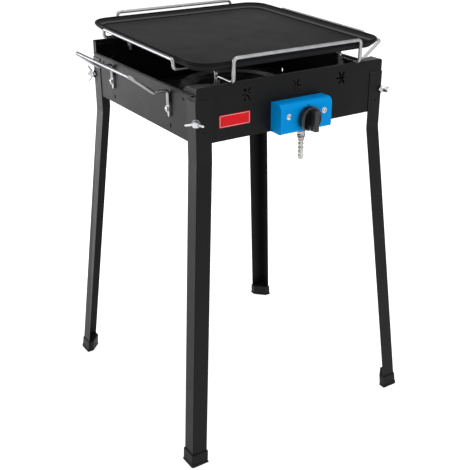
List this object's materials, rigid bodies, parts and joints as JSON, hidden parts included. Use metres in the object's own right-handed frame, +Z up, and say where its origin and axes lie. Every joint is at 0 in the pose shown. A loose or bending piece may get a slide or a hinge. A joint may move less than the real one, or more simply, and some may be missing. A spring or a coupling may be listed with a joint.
{
  "type": "gas griddle stand",
  "caption": "Square gas griddle on splayed angle legs: burner box, ring burner, front gas tap, non-stick plate in a lift-out chromed wire cradle, carrying handles.",
  "frame": {"origin": "on the floor, at the middle of the burner box seen from above", "axes": "+X to the right along the front panel, +Y from the front panel with the gas tap to the back, +Z up"},
  "size_m": [0.607, 0.5692, 0.84],
  "materials": {
    "panel_paint": "satin black paint on folded sheet steel",
    "leg_paint": "satin black paint on a steel angle",
    "tray_paint": "matt black heat-resistant paint",
    "foot_plastic": "moulded black plastic, matt",
    "zinc": "bright zinc plating",
    "chromed_wire": "bright chrome plating on bent steel wire",
    "blue_paint": "glossy blue paint on folded sheet steel",
    "red_plate": "glossy red enamel, plain",
    "brass": "machined brass",
    "nickelled_brass": "nickel plating on turned brass",
    "seal_rubber": "plain",
    "knob_plastic": "moulded black plastic, satin",
    "burner_steel": "bare aluminised steel",
    "plate_coating": "cast aluminium with a matt black non-stick coating"
  },
  "bodies": {
    "stand": {"front_panel": "panel_paint", "back_panel": "panel_paint", "left_panel": "panel_paint", "right_panel": "panel_paint", "bottom_tray": "tray_paint", "tray_screws": "zinc", "gusset_front_left": "panel_paint", "gusset_front_right": "panel_paint", "gusset_back_left": "panel_paint", "gusset_back_right": "panel_paint", "gusset_rivets": "panel_paint", "leg_front_left": "leg_paint", "leg_front_right": "leg_paint", "leg_back_left": "leg_paint", "leg_back_right": "leg_paint", "foot_front_left": "foot_plastic", "foot_front_right": "foot_plastic", "foot_back_left": "foot_plastic", "foot_back_right": "foot_plastic", "leg_bolts": "zinc", "leg_washers": "zinc", "left_handle": "chromed_wire", "right_handle": "chromed_wire", "handle_screws": "zinc", "tap_housing": "blue_paint", "housing_screws_and_nuts": "zinc", "name_plate": "red_plate", "tap_body": "brass", "tap_cap": "brass", "hose_nozzle": "nickelled_brass", "nozzle_seal": "seal_rubber", "injector": "brass", "mixing_tube": "burner_steel", "burner_ring": "burner_steel", "burner_bracket": "zinc", "burner_screws": "zinc"},
    "cradle": {"cradle_side_loop": "chromed_wire", "cradle_left_rod": "chromed_wire", "cradle_right_rod": "chromed_wire", "cradle_front_handle": "chromed_wire", "cradle_back_handle": "chromed_wire"},
    "plate": {"griddle_plate": "plate_coating"},
    "tap_plug": {"tap_plug": "brass"},
    "knob": {"knob": "knob_plastic", "tap_spindle": "zinc"},
    "wing_nut_front_left": {"wing_nut_front_left": "zinc"},
    "wing_nut_front_right": {"wing_nut_front_right": "zinc"},
    "wing_nut_back_left": {"wing_nut_back_left": "zinc"},
    "wing_nut_back_right": {"wing_nut_back_right": "zinc"}
  },
  "joints": [
    {"name": "tap_turn", "type": "hinge", "parent": "stand", "child": "tap_plug", "pos_m": [0.006, -0.24, 0.697], "axis": [0, -1, 0], "range_deg": [0, 200]},
    {"name": "knob_push", "type": "slide", "parent": "tap_plug", "child": "knob", "axis": [0, 1, 0], "range_m": [0, 0.003], "stiffness_N_per_m": 800},
    {"name": "cradle_lift", "type": "slide", "parent": "stand", "child": "cradle", "axis": [0, 0, 1], "range_m": [0, 0.06]},
    {"name": "plate_lift", "type": "slide", "parent": "cradle", "child": "plate", "axis": [0, 0, 1], "range_m": [0, 0.06]},
    {"name": "wing_nut_front_left_spin", "type": "hinge", "parent": "stand", "child": "wing_nut_front_left", "pos_m": [-0.2255, -0.2255, 0.714], "axis": [-0.7071, -0.7071, 0], "continuous": true},
    {"name": "wing_nut_front_right_spin", "type": "hinge", "parent": "stand", "child": "wing_nut_front_right", "pos_m": [0.2255, -0.2255, 0.714], "axis": [0.7071, -0.7071, 0], "continuous": true},
    {"name": "wing_nut_back_left_spin", "type": "hinge", "parent": "stand", "child": "wing_nut_back_left", "pos_m": [-0.2255, 0.2255, 0.714], "axis": [-0.7071, 0.7071, 0], "continuous": true},
    {"name": "wing_nut_back_right_spin", "type": "hinge", "parent": "stand", "child": "wing_nut_back_right", "pos_m": [0.2255, 0.2255, 0.714], "axis": [0.7071, 0.7071, 0], "continuous": true}
  ]
}
